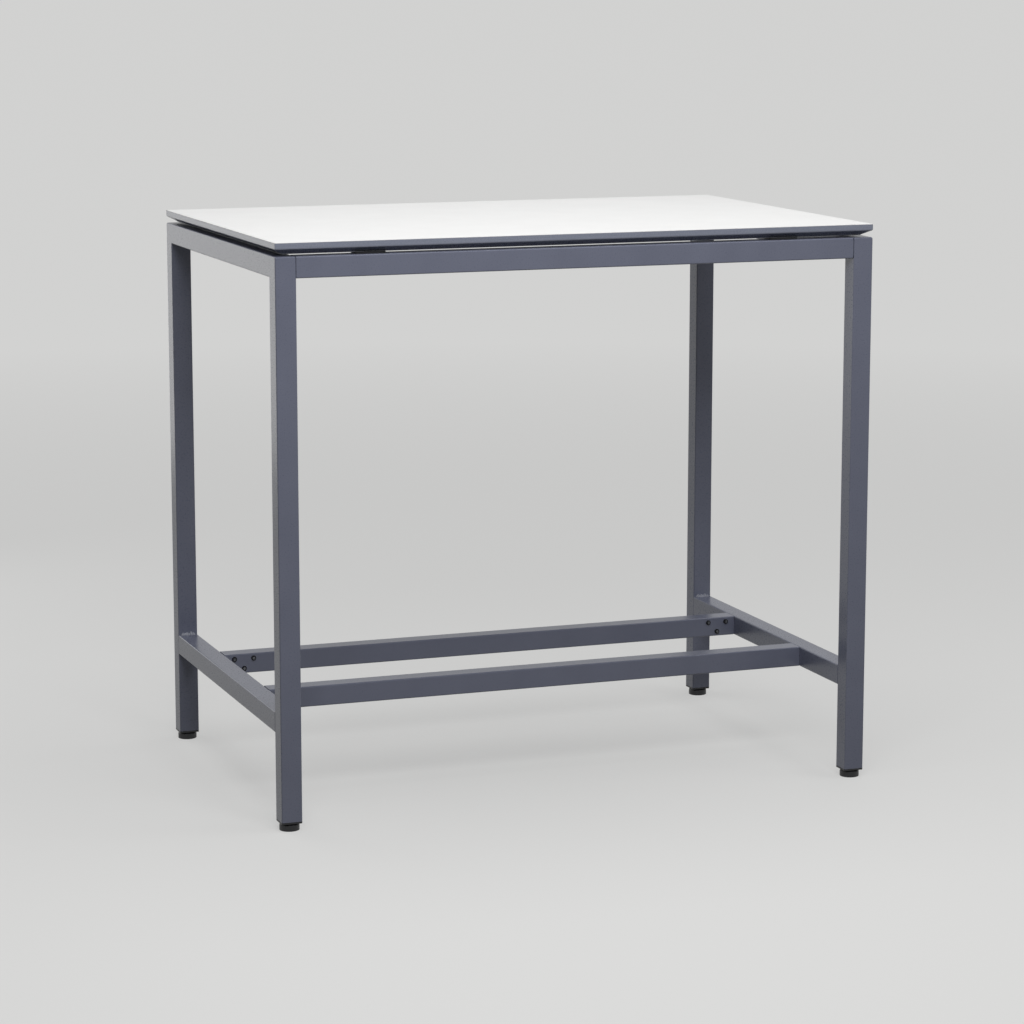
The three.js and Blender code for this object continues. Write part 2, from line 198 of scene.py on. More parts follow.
@dataclass(frozen=True)
class Finish:
    """A surface: a colour that drifts to a second shade, with a fine tooth in its gloss and relief."""

    name: str
    slot: Slot
    colour: str
    shade: str
    roughness: float
    drift_mm: tuple[float, float, float] = (60.0, 60.0, 60.0)
    drift_band: tuple[float, float] = (0.3, 0.7)
    tooth_mm: float = 2.0
    tooth_depth_mm: float = 0.01
    gloss_spread: float = 0.05
    metallic: float = 0.0
    ior: float = 1.5

    def material(self) -> bpy.types.Material:
        """Makes the finish's material the first time it is asked for.

        Returns:
            The material that all pieces with this finish share.
        """
        made = bpy.data.materials.get(self.name)
        if made:
            return made
        made = bpy.data.materials.new(self.name)
        made.use_nodes = True
        tree = made.node_tree
        tree.nodes.clear()
        place = add_node(tree, "ShaderNodeTexCoord").outputs["Object"]
        tooth_size = (self.tooth_mm,) * 3
        tooth = add_pattern(tree, place, tooth_size)
        glosses = (self.roughness - self.gloss_spread, self.roughness + self.gloss_spread)
        bump = add_node(
            tree,
            "ShaderNodeBump",
            {"Height": tooth, "Distance": self.tooth_depth_mm * MM, "Strength": 1.0},
        )
        shader = add_node(
            tree,
            "ShaderNodeBsdfPrincipled",
            {
                "Base Color": self.tint(tree, place),
                "Roughness": add_pattern(tree, place, tooth_size, values=glosses),
                "Metallic": self.metallic,
                "IOR": self.ior,
                "Normal": bump.outputs["Normal"],
            },
        )
        add_node(tree, "ShaderNodeOutputMaterial", {"Surface": shader.outputs["BSDF"]})
        LOG.info("finish %s", self.name)
        return made

    def tint(self, tree: bpy.types.NodeTree, place: bpy.types.NodeSocket) -> bpy.types.NodeSocket:
        """Draws the colour.

        Args:
            tree: the material's nodes.
            place: the point on the table, in metres.

        Returns:
            The socket that gives the colour.
        """
        blend = {
            MIX_FACTOR: add_pattern(tree, place, self.drift_mm, self.drift_band),
            MIX_FIRST: linear(self.shade),
            MIX_SECOND: linear(self.colour),
        }
        return add_node(tree, "ShaderNodeMix", blend, data_type="RGBA").outputs[MIX_RESULT]


@dataclass(frozen=True)
class PowderCoat(Finish):
    """Polyester powder, sprayed and baked on steel.

    Satin, with an orange peel that softens reflections, and paler rubs where shoes have been.
    """

    drift_mm: tuple[float, float, float] = (70.0, 70.0, 70.0)
    tooth_mm: float = 2.6  # the real peel is about 0.7 mm, drawn coarser so that it shows
    tooth_depth_mm: float = 0.008
    gloss_spread: float = 0.03
    rub: float = 0.0  # how strongly the rubs show
    rub_colour: str = "#a3a6ae"
    rub_mm: tuple[float, float, float] = (46.0, 1.7, 1.7)
    rub_band: tuple[float, float] = (0.6, 0.78)
    rub_facing: tuple[float, float] = (0.5, 0.95)  # how far up a face looks where rubs start and are full

    def tint(self, tree: bpy.types.NodeTree, place: bpy.types.NodeSocket) -> bpy.types.NodeSocket:
        """Adds the rubs that soles leave along the upper face of a footrest bar.

        Args:
            tree: the material's nodes.
            place: the point on the table, in metres.

        Returns:
            The socket that gives the colour.
        """
        coat = super().tint(tree, place)
        if not self.rub:
            return coat
        marks = add_pattern(tree, place, self.rub_mm, self.rub_band, (0.0, self.rub))
        normal = add_node(tree, "ShaderNodeNewGeometry").outputs["True Normal"]
        facing = add_node(tree, "ShaderNodeSeparateXYZ", {"Vector": normal}).outputs["Z"]
        start, full = self.rub_facing
        upper = add_node(
            tree, "ShaderNodeMapRange", {"Value": facing, "From Min": start, "From Max": full}
        )
        amount = add_node(
            tree, "ShaderNodeMath", {0: marks, 1: upper.outputs["Result"]}, operation="MULTIPLY"
        )
        blend = {
            MIX_FACTOR: amount.outputs["Value"],
            MIX_FIRST: coat,
            MIX_SECOND: linear(self.rub_colour),
        }
        return add_node(tree, "ShaderNodeMix", blend, data_type="RGBA").outputs[MIX_RESULT]


@dataclass(frozen=True)
class PressedLaminate(Finish):
    """Melamine-faced paper pressed against a fine matt plate.

    Even in colour, with a shallow pebble that keeps reflections soft and faint smears from wiping.
    """

    drift_mm: tuple[float, float, float] = (85.0, 85.0, 85.0)
    tooth_mm: float = 3.0  # the plate's grain is about 0.3 mm, drawn coarser so that it shows
    tooth_depth_mm: float = 0.008


@dataclass(frozen=True)
class LacqueredBoard(Finish):
    """Fibreboard edge, sanded, sealed and sprayed with satin lacquer.

    The fibre lies in level layers, so faint streaks run along the edge under the colour.
    """

    drift_mm: tuple[float, float, float] = (55.0, 55.0, 1.6)
    tooth_mm: float = 1.5
    gloss_spread: float = 0.06


@dataclass(frozen=True)
class PlatedSteel(Finish):
    """Steel that was turned or cut and then plated or blackened.

    A metal sheen, broken by fine tool marks and by small blotches in the plating.
    """

    drift_mm: tuple[float, float, float] = (6.0, 6.0, 6.0)
    tooth_mm: float = 0.9
    tooth_depth_mm: float = 0.004
    gloss_spread: float = 0.08
    metallic: float = 1.0


@dataclass(frozen=True)
class MouldedNylon(Finish):
    """Nylon, injection moulded in a spark-eroded tool.

    Dull, with a fine grain that catches the light on rounded lips, greyer where dust has settled.
    """

    drift_mm: tuple[float, float, float] = (9.0, 9.0, 9.0)
    drift_band: tuple[float, float] = (0.75, 0.45)
    tooth_mm: float = 1.1
    tooth_depth_mm: float = 0.02
    gloss_spread: float = 0.06
    ior: float = 1.53


# Blue-grey satin on all the tubes; on the footrest it has been stood on
COAT = PowderCoat("satin powder coat", Slot.COAT, "#75798b", "#707486", 0.29)
TRODDEN_COAT = PowderCoat("satin powder coat, stood on", Slot.COAT, "#75798b", "#707486", 0.3, rub=0.5)
# On the weld beads: painted paler as a highlight on the lumps, and shinier, as the coat is thin over the
# crests
WELD_GLINT_COAT = PowderCoat(
    "satin powder coat, painted paler as weld glints", Slot.COAT, "#a9acb6", "#868a98", 0.22, drift_mm=(5.0, 5.0, 5.0)
)
# Clean white with a soft sheen, and a dull grey sheet that shows only from below
WHITE_TOP = PressedLaminate("pressed white laminate", Slot.LAMINATE, "#eeeeed", "#ebebea", 0.42)
BACKING = PressedLaminate("pressed grey balancing laminate", Slot.BACKING, "#8d9096", "#83868c", 0.55)
# Close to the frame's blue-grey, a little smoother
BOARD = LacqueredBoard("lacquered fibreboard", Slot.BOARD, "#8d92a2", "#858a9a", 0.27)
# Pale cool metal on the studs and nuts
ZINC = PlatedSteel("zinc-plated turned steel", Slot.ZINC, "#c4c8cc", "#a9adb2", 0.34)
# Near-black screws; each socket floor is worn bare by the key and painted pale grey as a highlight of light
# caught inside it
BLACKED = PlatedSteel("black-oxide steel", Slot.BLACK_STEEL, "#1b1c1f", "#26272b", 0.36, metallic=0.8)
WORN_AND_GLINT_SOCKET = PlatedSteel("black-oxide steel, worn and painted pale in the socket", Slot.BLACK_STEEL, "#7d7f83", "#5d5f63", 0.4)
# Black feet and spacers that hardly shine
NYLON = MouldedNylon("moulded black nylon", Slot.BLACK_PLASTIC, "#131416", "#222326", 0.46)


class Skin:
    """A piece's surface while it is made."""

    def __init__(self) -> None:
        """Starts with no faces."""
        self.work = bmesh.new()

    @classmethod
    def of_node(cls, node: str) -> "Skin":
        """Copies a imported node's surface and joins its triangles into flat faces.

        Args:
            node: the node's name.

        Returns:
            The copy, ready to be added to.
        """
        skin = cls()
        skin.work.from_mesh(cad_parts[node].data)
        bmesh.ops.remove_doubles(skin.work, verts=skin.work.verts, dist=WELD_DISTANCE)
        bmesh.ops.dissolve_limit(
            skin.work, angle_limit=FLAT_ANGLE, verts=skin.work.verts, edges=skin.work.edges
        )
        return skin

    def loft(
        self,
        rings: Sequence[Sequence[Vector]],
        tone: int = 0,
        close_start: bool = True,
        close_end: bool = True,
    ) -> None:
        """Adds a surface through rings of equally many points.

        Args:
            rings: the rings in order.
            tone: which of the piece's finishes the faces take.
            close_start: whether the first ring is filled.
            close_end: whether the last ring is filled.
        """
        rows = [[self.work.verts.new(point) for point in ring] for ring in rings]
        faces = []
        for lower, upper in zip(rows, rows[1:]):
            for i in range(len(lower)):
                j = (i + 1) % len(lower)
                faces.append(self.work.faces.new((lower[i], lower[j], upper[j], upper[i])))
        if close_start:
            faces.append(self.work.faces.new(rows[0]))
        if close_end:
            faces.append(self.work.faces.new(rows[-1]))
        for face in faces:
            face.material_index = tone

    def add_to_table(
        self, name: str, finishes: Sequence[Finish], body: str = TABLE_BODY, stands_for: Sequence[str] = ()
    ) -> None:
        """Turns the surface into a piece of the table.

        Args:
            name: the piece's name.
            finishes: its finishes, in the order of the faces' tones.
            body: the body that it moves with.
            stands_for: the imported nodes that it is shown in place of.
        """
        bmesh.ops.remove_doubles(self.work, verts=self.work.verts, dist=WELD_DISTANCE)
        bmesh.ops.recalc_face_normals(self.work, faces=self.work.faces)
        mesh = bpy.data.meshes.new(name)
        self.work.to_mesh(mesh)
        self.work.free()
        for finish in finishes:
            mesh.materials.append(finish.material())
        mesh.polygons.foreach_set("use_smooth", [True] * len(mesh.polygons))
        mesh.set_sharp_from_angle(angle=CREASE_ANGLE)
        piece = bpy.data.objects.new(name, mesh)
        bpy.context.scene.collection.objects.link(piece)
        shading = piece.modifiers.new("flat faces stay flat", "WEIGHTED_NORMAL")
        shading.keep_sharp = True
        shading.weight = FACE_WEIGHT
        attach(piece, body)
        if stands_for:
            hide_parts(*stands_for)
        LOG.info("piece %s, %d faces", name, len(mesh.polygons))


def dress_node(node: str, finish: Finish) -> None:
    """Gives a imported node, whose shape stays as it is, its finish.

    Args:
        node: the node's name.
        finish: the finish that all its faces take.
    """
    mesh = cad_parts[node].data
    mesh.materials.clear()
    mesh.materials.append(finish.material())
    LOG.info("node %s dressed", node)


def middle_of(node: str) -> Vector:
    """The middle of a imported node's box."""
    low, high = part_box(node)
    return (low + high) / 2


def rounded_rectangle(
    width: float, depth: float, radius: float, height: float, middle: Vector, steps: int = 4
) -> list[Vector]:
    """A level rectangle with round corners.

    Args:
        width: along X.
        depth: along Y.
        radius: of the corners.
        height: how far above the middle the ring lies.
        middle: the point that it is drawn about.
        steps: pieces in each round corner.

    Returns:
        The ring's points, anticlockwise from above.
    """
    ring = []
    for quarter, (x, y) in enumerate(((1, 1), (-1, 1), (-1, -1), (1, -1))):
        centre = Vector((x * (width / 2 - radius), y * (depth / 2 - radius), height))
        for step in range(steps + 1):
            angle = math.pi / 2 * (quarter + step / steps)
            ring.append(middle + centre + radius * Vector((math.cos(angle), math.sin(angle), 0)))
    return ring


def circle(radius: float, height: float, frame_of: Matrix, steps: int, flats: float = 0.0) -> list[Vector]:
    """A ring about the Z axis of a frame, round or hexagonal.

    Args:
        radius: of the round ring.
        height: along the axis.
        frame_of: the frame that the ring is placed in.
        steps: points in the ring, a multiple of six for a hexagon.
        flats: half the width across a hexagon's flats, or 0 for a round ring.

    Returns:
        The ring's points.
    """
    ring = []
    for step in range(steps):
        angle = 2 * math.pi * step / steps
        reach = flats / math.cos(angle % (math.pi / 3) - math.pi / 6) if flats else radius
        ring.append(frame_of @ Vector((reach * math.cos(angle), reach * math.sin(angle), height)))
    return ring


@dataclass
class TableTop:
    """White laminate on a lacquered board with a bevelled underside, and its backing sheet."""

    corner_radius: float = 1.5 * MM
    bevel_run: float = 17.3 * MM
    edge_height: float = 12 * MM
    laminate_ease: float = 0.35 * MM  # how far the laminate's upper edge is eased with a file
    arris: float = 2.2 * MM  # rounding where the upright edge turns into the bevel
    arris_steps: int = 5

    def build(self) -> None:
        """Makes the laminate and the board, and dresses the backing sheet."""
        self.build_laminate()
        self.build_board()
        dress_node("backing_sheet", BACKING)

    def rings(self, node: str, levels: Sequence[tuple[float, float]]) -> list[list[Vector]]:
        """Rings of the top's outline.

        Args:
            node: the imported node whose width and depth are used.
            levels: the inset and the height of each ring.

        Returns:
            One ring for each level.
        """
        low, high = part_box(node)
        size = high - low
        middle = Vector(((low.x + high.x) / 2, (low.y + high.y) / 2, 0))
        return [
            rounded_rectangle(size.x - 2 * inset, size.y - 2 * inset, self.corner_radius, height, middle)
            for inset, height in levels
        ]

    def build_laminate(self) -> None:
        """Makes the laminate with its upper edge eased."""
        low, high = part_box("top_laminate")
        ease = self.laminate_ease
        cut = ARC_CUT * ease
        levels = [(0, low.z), (0, high.z - ease), (cut, high.z - cut), (ease, high.z)]
        skin = Skin()
        skin.loft(self.rings("top_laminate", levels))
        skin.add_to_table("white_laminate_top", [WHITE_TOP], stands_for=["top_laminate"])

    def build_board(self) -> None:
        """Makes the board with its bevel and the rounded arris above it."""
        low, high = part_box("board_core")
        turn = CAD_BOX[1].z - self.edge_height
        slope = (turn - low.z) / self.bevel_run
        below, above = (self.arris, turn - slope * self.arris), (0.0, turn + self.arris)
        levels = [(self.bevel_run, low.z)]
        for step in range(self.arris_steps + 1):
            share = step / self.arris_steps
            inset = (1 - share) ** 2 * below[0]
            height = (1 - share) ** 2 * below[1] + 2 * share * (1 - share) * turn + share**2 * above[1]
            levels.append((inset, height))
        levels.append((0.0, high.z))
        skin = Skin()
        skin.loft(self.rings("board_core", levels))
        skin.add_to_table("bevelled_board", [BOARD], stands_for=["board_core"])


@dataclass(frozen=True)
class WeldBead:
    """A rippled fillet of weld in the corner between a crossbar and a leg."""

    reach: float = 4 * MM  # along each of the two faces, between the ripples
    ripple: float = 8.5 * MM  # from one ripple to the next
    ripple_height: float = 0.5  # part of the reach
    unevenness: float = 0.6  # part of the ripples' height
    sink: float = 0.3 * MM  # how far it goes into both faces
    bulge: float = 0.9  # 0 is a straight fillet, 1 a full quarter round
    end_reach: float = 0.35  # part of the reach that is left at its ends
    steps_per_ripple: int = 8
    arc_steps: int = 6

    def add_to(
        self, skin: Skin, start: Vector, end: Vector, faces: tuple[Vector, Vector], chance: Random
    ) -> None:
        """Lays the bead along a corner.

        Args:
            skin: the surface that it is added to.
            start: one end of the corner.
            end: the other end of the corner.
            faces: the directions out of the corner along the two faces.
            chance: the source of its unevenness.
        """
        length = (end - start).length
        ripples = length / self.ripple
        spread = self.unevenness
        swells = []
        for _ in range(math.ceil(ripples)):
            swells.append(self.ripple_height * (1 + chance.uniform(-spread, spread)))
        count = round(ripples * self.steps_per_ripple)
        inwards = -self.sink * (faces[0] + faces[1])
        rings = []
        for step in range(count + 1):
            share = step / count
            along = share * ripples
            wave = (1 - math.cos(2 * math.pi * along)) / 2
            swell = 1 + swells[min(int(along), len(swells) - 1)] * wave
            fade = min(1.0, self.end_reach + min(share, 1 - share) * length / self.reach)
            reach = self.reach * swell * fade
            corner = start.lerp(end, share) + inwards
            ring = [corner]
            for k in range(self.arc_steps + 1):
                part = k / self.arc_steps
                angle = part * math.pi / 2
                first = (1 - self.bulge) * (1 - part) + self.bulge * math.cos(angle)
                second = (1 - self.bulge) * part + self.bulge * math.sin(angle)
                ring.append(corner + reach * (first * faces[0] + second * faces[1]))
            rings.append(ring)
        # The bead takes the piece's second finish, painted paler as a highlight on its lumps
        skin.loft(rings, tone=1)


@dataclass
class EndFrame:
    """Two legs, a mitred end rail and a low crossbar, welded and coated as one."""

    end: End
    tube_radius: float = 2.5 * MM
    mitre_gap: float = 0.3 * MM  # between the cut ends of a leg and the end rail, measured upright
    dressed: float = 4.5 * MM  # how far round an outer corner of the frame its weld was dressed
    bead: WeldBead = WeldBead()
    bead_inset: float = 5 * MM  # from the sides of the crossbar to the ends of the bead

    def build(self) -> None:
        """Makes the tubes, the welds that were ground flush and the beads that were left."""
        tubes = [f"leg_{side.value}_{self.end.value}" for side in Side]
        tubes.append(f"end_rail_{self.end.value}")
        for tube in tubes:
            Skin.of_node(tube).add_to_table(f"coated_{tube}", [COAT], stands_for=[tube])
        crossbar = f"crossbar_{self.end.value}"
        Skin.of_node(crossbar).add_to_table(f"coated_{crossbar}", [COAT], stands_for=[crossbar])
        chance = Random(crossbar)
        for side in Side:
            self.build_mitre_weld(side)
            self.build_crossbar_weld(side, chance)

    def build_mitre_weld(self, side: Side) -> None:
        """Fills the mitre between a leg and the end rail, ground flush with both.

        Args:
            side: the leg's side of the table.
        """
        low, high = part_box(f"leg_{side.value}_{self.end.value}")
        _, rail_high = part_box(f"end_rail_{self.end.value}")
        tube = high.x - low.x
        middle = (low + high) / 2
        middle.z = rail_high.z - tube / 2
        corner_cut = self.tube_radius * (1 - math.sqrt(0.5))
        ball = math.sqrt(2) * (self.dressed - corner_cut)
        inside = tube / 2 - self.dressed
        outline = rounded_rectangle(tube, tube, self.tube_radius, 0, Vector())
        rings = []
        # Each cut lies half the gap from the mitre, shared evenly between Y and Z
        for shift in (-self.mitre_gap / 4, self.mitre_gap / 4):
            ring = []
            for point in outline:
                out = min(point.y, tube / 2 - corner_cut)
                place = Vector((point.x, out - shift, out + shift))
                centre = Vector((math.copysign(inside, point.x), inside, inside))
                reach = place - centre
                if abs(point.x) > inside and out > inside and reach.length > ball:
                    place = centre + reach * (ball / reach.length)
                ring.append(middle + Vector((place.x, side.sign * place.y, place.z)))
            rings.append(ring)
        skin = Skin()
        skin.loft(rings)
        skin.add_to_table(f"ground_mitre_weld_{side.value}_{self.end.value}", [COAT])

    def build_crossbar_weld(self, side: Side, chance: Random) -> None:
        """Fills the butt joint of a crossbar, and lays a bead above and below it.

        Args:
            side: the side of the table that the joint is on.
            chance: the source of the beads' unevenness.
        """
        low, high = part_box(f"crossbar_{self.end.value}")
        leg_low, leg_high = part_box(f"leg_{side.value}_{self.end.value}")
        face = leg_low.y if side is Side.REAR else leg_high.y
        bar_end = high.y if side is Side.REAR else low.y
        middle = (low + high) / 2
        outline = rounded_rectangle(high.x - low.x, high.z - low.z, self.tube_radius, 0, Vector())
        skin = Skin()
        skin.loft(
            [
                [Vector((middle.x + point.x, y, middle.z + point.y)) for point in outline]
                for y in (bar_end, face)
            ]
        )
        away = Vector((0, -side.sign, 0))
        for height, up in ((high.z, 1), (low.z, -1)):
            start = Vector((low.x + self.bead_inset, face, height))
            end = Vector((high.x - self.bead_inset, face, height))
            self.bead.add_to(skin, start, end, (away, Vector((0, 0, up))), chance)
        # The beads' finish is painted paler, as a highlight on their lumps
        skin.add_to_table(f"crossbar_weld_{side.value}_{self.end.value}", [COAT, WELD_GLINT_COAT])


@dataclass(frozen=True)
class ButtonScrew:
    """A black button-head screw whose hexagon socket is worn by keys and painted pale as a highlight."""

    head_radius: float = 5.25 * MM
    head_height: float = 3.3 * MM
    head_chamfer: float = 0.2 * MM  # under the head
    rim: float = 0.5 * MM  # upright edge of the head
    crown_radius: float = 3.1 * MM
    shank_radius: float = 3 * MM
    shank: float = 9 * MM
    shank_chamfer: float = 0.5 * MM
    socket_flats: float = 4 * MM
    socket_depth: float = 2 * MM
    socket_chamfer: float = 0.35 * MM
    drill_radius: float = 0.8 * MM  # mark of the drill in the floor of the socket
    drill_depth: float = 0.4 * MM
    steps: int = 36
    dome_steps: int = 5

    def build(self, name: str, seat: Vector, out: Vector, stands_for: Sequence[str] = ()) -> None:
        """Makes a screw.

        Args:
            name: the piece's name.
            seat: the middle of the face under its head.
            out: the direction from the seat out through the head.
            stands_for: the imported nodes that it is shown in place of.
        """
        place = Matrix.Translation(seat) @ out.to_track_quat("Z", "Y").to_matrix().to_4x4()
        outside = [
            (self.shank_radius - self.shank_chamfer, -self.shank),
            (self.shank_radius, -self.shank + self.shank_chamfer),
            (self.shank_radius, 0),
            (self.head_radius - self.head_chamfer, 0),
            (self.head_radius, self.head_chamfer),
        ]
        for step in range(self.dome_steps + 1):
            angle = math.pi / 2 * step / self.dome_steps
            radius = self.crown_radius + (self.head_radius - self.crown_radius) * math.cos(angle)
            outside.append((radius, self.rim + (self.head_height - self.rim) * math.sin(angle)))
        skin = Skin()
        rings = [circle(radius, height, place, self.steps) for radius, height in outside]
        half = self.socket_flats / 2
        mouth = circle(half * 2 / math.sqrt(3) + self.socket_chamfer, self.head_height, place, self.steps)
        skin.loft([*rings, mouth], close_end=False)
        floor = self.head_height - self.socket_depth
        # The socket takes the second finish: worn bare, and painted pale as a highlight inside the socket
        skin.loft(
            [
                mouth,
                circle(0, self.head_height - self.socket_chamfer, place, self.steps, half),
                circle(0, floor, place, self.steps, half),
                circle(self.drill_radius, floor - self.drill_depth, place, self.steps),
            ],
            tone=1,
            close_start=False,
        )
        skin.add_to_table(name, [BLACKED, WORN_AND_GLINT_SOCKET], stands_for=stands_for)


@dataclass
class Footrest:
    """Two bars between the crossbars, on spigots that three screws at each end hold."""

    screws_per_end: int = 3
    screw: ButtonScrew = ButtonScrew()

    def build(self) -> None:
        """Makes the bars and their screws, and dresses the spigots."""
        for side in Side:
            bar = f"footrest_bar_{side.value}"
            Skin.of_node(bar).add_to_table(f"coated_{bar}", [TRODDEN_COAT], stands_for=[bar])
            for end in End:
                dress_node(f"footrest_spigot_{side.value}_{end.value}", COAT)
                for seat, node in self.seats(side, end):
                    out = Vector((0, -side.sign, 0))
                    self.screw.build(f"black_{node}", seat, out, stands_for=[node])

    def seats(self, side: Side, end: End) -> list[tuple[Vector, str]]:
        """Where the screws of one joint sit.

        Args:
            side: the bar's side of the table.
            end: the end of the bar.

        Returns:
            The middle of the face under each head, and the screw's node.
        """
        found = []
        for number in range(1, self.screws_per_end + 1):
            node = f"footrest_screw_{side.value}_{end.value}_{number}"
            low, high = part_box(node)
            seat = (low + high) / 2
            top = low.y if side is Side.REAR else high.y
            seat.y = top + side.sign * self.screw.head_height
            found.append((seat, node))
        return found


@dataclass
class LongRails:
    """The rails under the long sides of the top, with their spigots, screws and spacers."""

    screw: ButtonScrew = ButtonScrew()

    def build(self, footrest: Footrest) -> None:
        """Makes the rails and dresses what is in and on them.

        Args:
            footrest: its screws give the pattern that the rails' screws repeat.
        """
        for side in Side:
            rail = f"long_rail_{side.value}"
            Skin.of_node(rail).add_to_table(f"coated_{rail}", [COAT], stands_for=[rail])
            for end in End:
                corner = f"{side.value}_{end.value}"
                dress_node(f"rail_spigot_{corner}", COAT)
                dress_node(f"spacer_{corner}", NYLON)
                dress_node(f"top_screw_{corner}", BLACKED)
                self.build_screws(side, end, footrest)

    def build_screws(self, side: Side, end: End, footrest: Footrest) -> None:
        """Makes the screws on the hidden face of a rail's end.

        Args:
            side: the rail's side of the table.
            end: the end of the rail.
            footrest: its screws give the pattern.
        """
        low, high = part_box(f"long_rail_{side.value}")
        inner_face = low.y if side is Side.REAR else high.y
        rise = (low.z + high.z) / 2 - middle_of(f"footrest_bar_{side.value}").z
        for number, (seat, _) in enumerate(footrest.seats(side, end), start=1):
            place = Vector((seat.x, inner_face, seat.z + rise))
            name = f"black_rail_screw_{side.value}_{end.value}_{number}"
            self.screw.build(name, place, Vector((0, -side.sign, 0)))


@dataclass
class LevellingFoot:
    """End cap, captive nut, threaded stud and swivelling pad under one leg."""

    side: Side
    end: End
    thread_pitch: float = 1.25 * MM
    thread_depth: float = 0.7 * MM
    thread_foot: float = 0.45  # half the ridge's width at its foot, in pitches
    thread_crest: float = 0.08  # half the ridge's width at its crest, in pitches
    thread_sink: float = 0.2 * MM  # how far the ridge goes into the stud
    plain_neck: float = 2.0  # length above the flange without a thread, in pitches
    neck_taper: float = 0.6  # length in which it narrows, in pitches
    stud_radius: float = 4 * MM
    flange_radius: float = 7 * MM
    flange_height: float = 3 * MM
    pad_radius: float = 19 * MM
    pad_rim: float = 9.5 * MM
    pad_shoulder: float = 13 * MM
    pad_neck_radius: float = 11 * MM
    pad_bore: float = 4.4 * MM
    pad_ease: float = 0.8 * MM
    neck_ease: float = 0.4 * MM
    base_edge: float = 2.4 * MM  # flat ring round the edge of the base
    seat_radius: float = 7.4 * MM  # the pocket that the stud's flange turns in
    seat_floor: float = 4 * MM
    seat_top: float = 7.8 * MM
    thread_steps: int = 24
    pad_steps: int = 64
    lip_steps: int = 6

    def build(self) -> None:
        """Makes the stud and the pad, and dresses the cap and the nut."""
        corner = f"{self.side.value}_{self.end.value}"
        cap = f"leg_cap_{corner}"
        Skin.of_node(cap).add_to_table(f"moulded_{cap}", [NYLON], stands_for=[cap])
        dress_node(f"foot_nut_{corner}", ZINC)
        self.build_stud(corner)
        self.build_pad(corner)

    def build_stud(self, corner: str) -> None:
        """Makes the stud with a real thread.

        Args:
            corner: the leg's name.
        """
        node = f"glide_stud_{corner}"
        low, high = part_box(node)
        place = Matrix.Translation(((low.x + high.x) / 2, (low.y + high.y) / 2, 0))
        root = self.stud_radius - self.thread_depth
        flange_top = low.z + self.flange_height
        neck_top = flange_top + self.plain_neck * self.thread_pitch
        profile = [
            (self.flange_radius, low.z),
            (self.flange_radius, flange_top),
            (self.stud_radius, flange_top),
            (self.stud_radius, neck_top),
            (root, neck_top + self.neck_taper * self.thread_pitch),
            (root, high.z),
        ]
        skin = Skin()
        skin.loft([circle(radius, height, place, self.thread_steps) for radius, height in profile])
        self.add_thread(skin, place, neck_top, high.z - self.thread_pitch)
        skin.add_to_table(f"threaded_{node}", [ZINC], body=f"stud_{corner}", stands_for=[node])

    def add_thread(self, skin: Skin, place: Matrix, start: float, end: float) -> None:
        """Winds a right-hand ridge round the stud.

        Args:
            skin: the surface that it is added to.
            place: the stud's frame.
            start: the height of the lowest turn.
            end: the height of the highest turn.
        """
        turns = (end - start) / self.thread_pitch
        count = round(turns * self.thread_steps)
        root = self.stud_radius - self.thread_depth
        sunk = root - self.thread_sink
        rings = []
        for step in range(count + 1):
            turn = step / self.thread_steps
            fade = min(1.0, min(step, count - step) / (self.thread_steps / 2))
            crest = root + self.thread_depth * fade
            middle = start + turn * self.thread_pitch
            angle = 2 * math.pi * turn
            outward = Vector((math.cos(angle), math.sin(angle), 0))
            section = (
                (sunk, -self.thread_foot),
                (crest, -self.thread_crest),
                (crest, self.thread_crest),
                (sunk, self.thread_foot),
            )
            rings.append(
                [
                    place @ (outward * radius + Vector((0, 0, middle + share * self.thread_pitch)))
                    for radius, share in section
                ]
            )
        skin.loft(rings)

    def build_pad(self, corner: str) -> None:
        """Makes the pad with its rounded lip and the bore for the stud.

        Args:
            corner: the leg's name.
        """
        node = f"glide_pad_{corner}"
        low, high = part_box(node)
        place = Matrix.Translation(((low.x + high.x) / 2, (low.y + high.y) / 2, low.z))
        ease = self.pad_ease
        cut = ARC_CUT * ease
        lip = self.pad_shoulder - self.pad_rim
        profile = [
            (self.pad_radius - self.base_edge, 0),
            (self.pad_radius - ease, 0),
            (self.pad_radius - cut, cut),
            (self.pad_radius, ease),
            (self.pad_radius, self.pad_rim),
        ]
        for step in range(1, self.lip_steps + 1):
            angle = math.pi / 2 * step / self.lip_steps
            radius = self.pad_radius - lip * (1 - math.cos(angle))
            profile.append((radius, self.pad_rim + lip * math.sin(angle)))
        top = high.z - low.z
        profile += [
            (self.pad_neck_radius + ease, self.pad_shoulder),
            (self.pad_neck_radius, self.pad_shoulder + ease),
            (self.pad_neck_radius, top - self.neck_ease),
            (self.pad_neck_radius - self.neck_ease, top),
            (self.pad_bore, top),
            (self.pad_bore, self.seat_top),
            (self.seat_radius, self.seat_top),
            (self.seat_radius, self.seat_floor),
        ]
        skin = Skin()
        skin.loft([circle(radius, height, place, self.pad_steps) for radius, height in profile])
        skin.add_to_table(f"moulded_{node}", [NYLON], body=f"pad_{corner}", stands_for=[node])


@dataclass(frozen=True)
class Softbox:
    """A soft lamp that lights the table and isn't seen itself."""

    name: str
    power: float  # watts
    size: tuple[float, float]
    place: tuple[float, float, float]
    target: tuple[float, float, float]
    mirrored: bool = True  # whether it shows in reflections

    def build(self) -> None:
        """Hangs the lamp and points it at its target."""
        light = bpy.data.lights.new(self.name, "AREA")
        light.shape = "RECTANGLE"
        light.size, light.size_y = self.size
        light.energy = self.power
        lamp = bpy.data.objects.new(self.name, light)
        lamp.location = self.place
        aim = Vector(self.target) - Vector(self.place)
        lamp.rotation_euler = aim.to_track_quat("-Z", "Y").to_euler()
        lamp.visible_camera = False
        lamp.visible_glossy = self.mirrored
        bpy.context.scene.collection.objects.link(lamp)


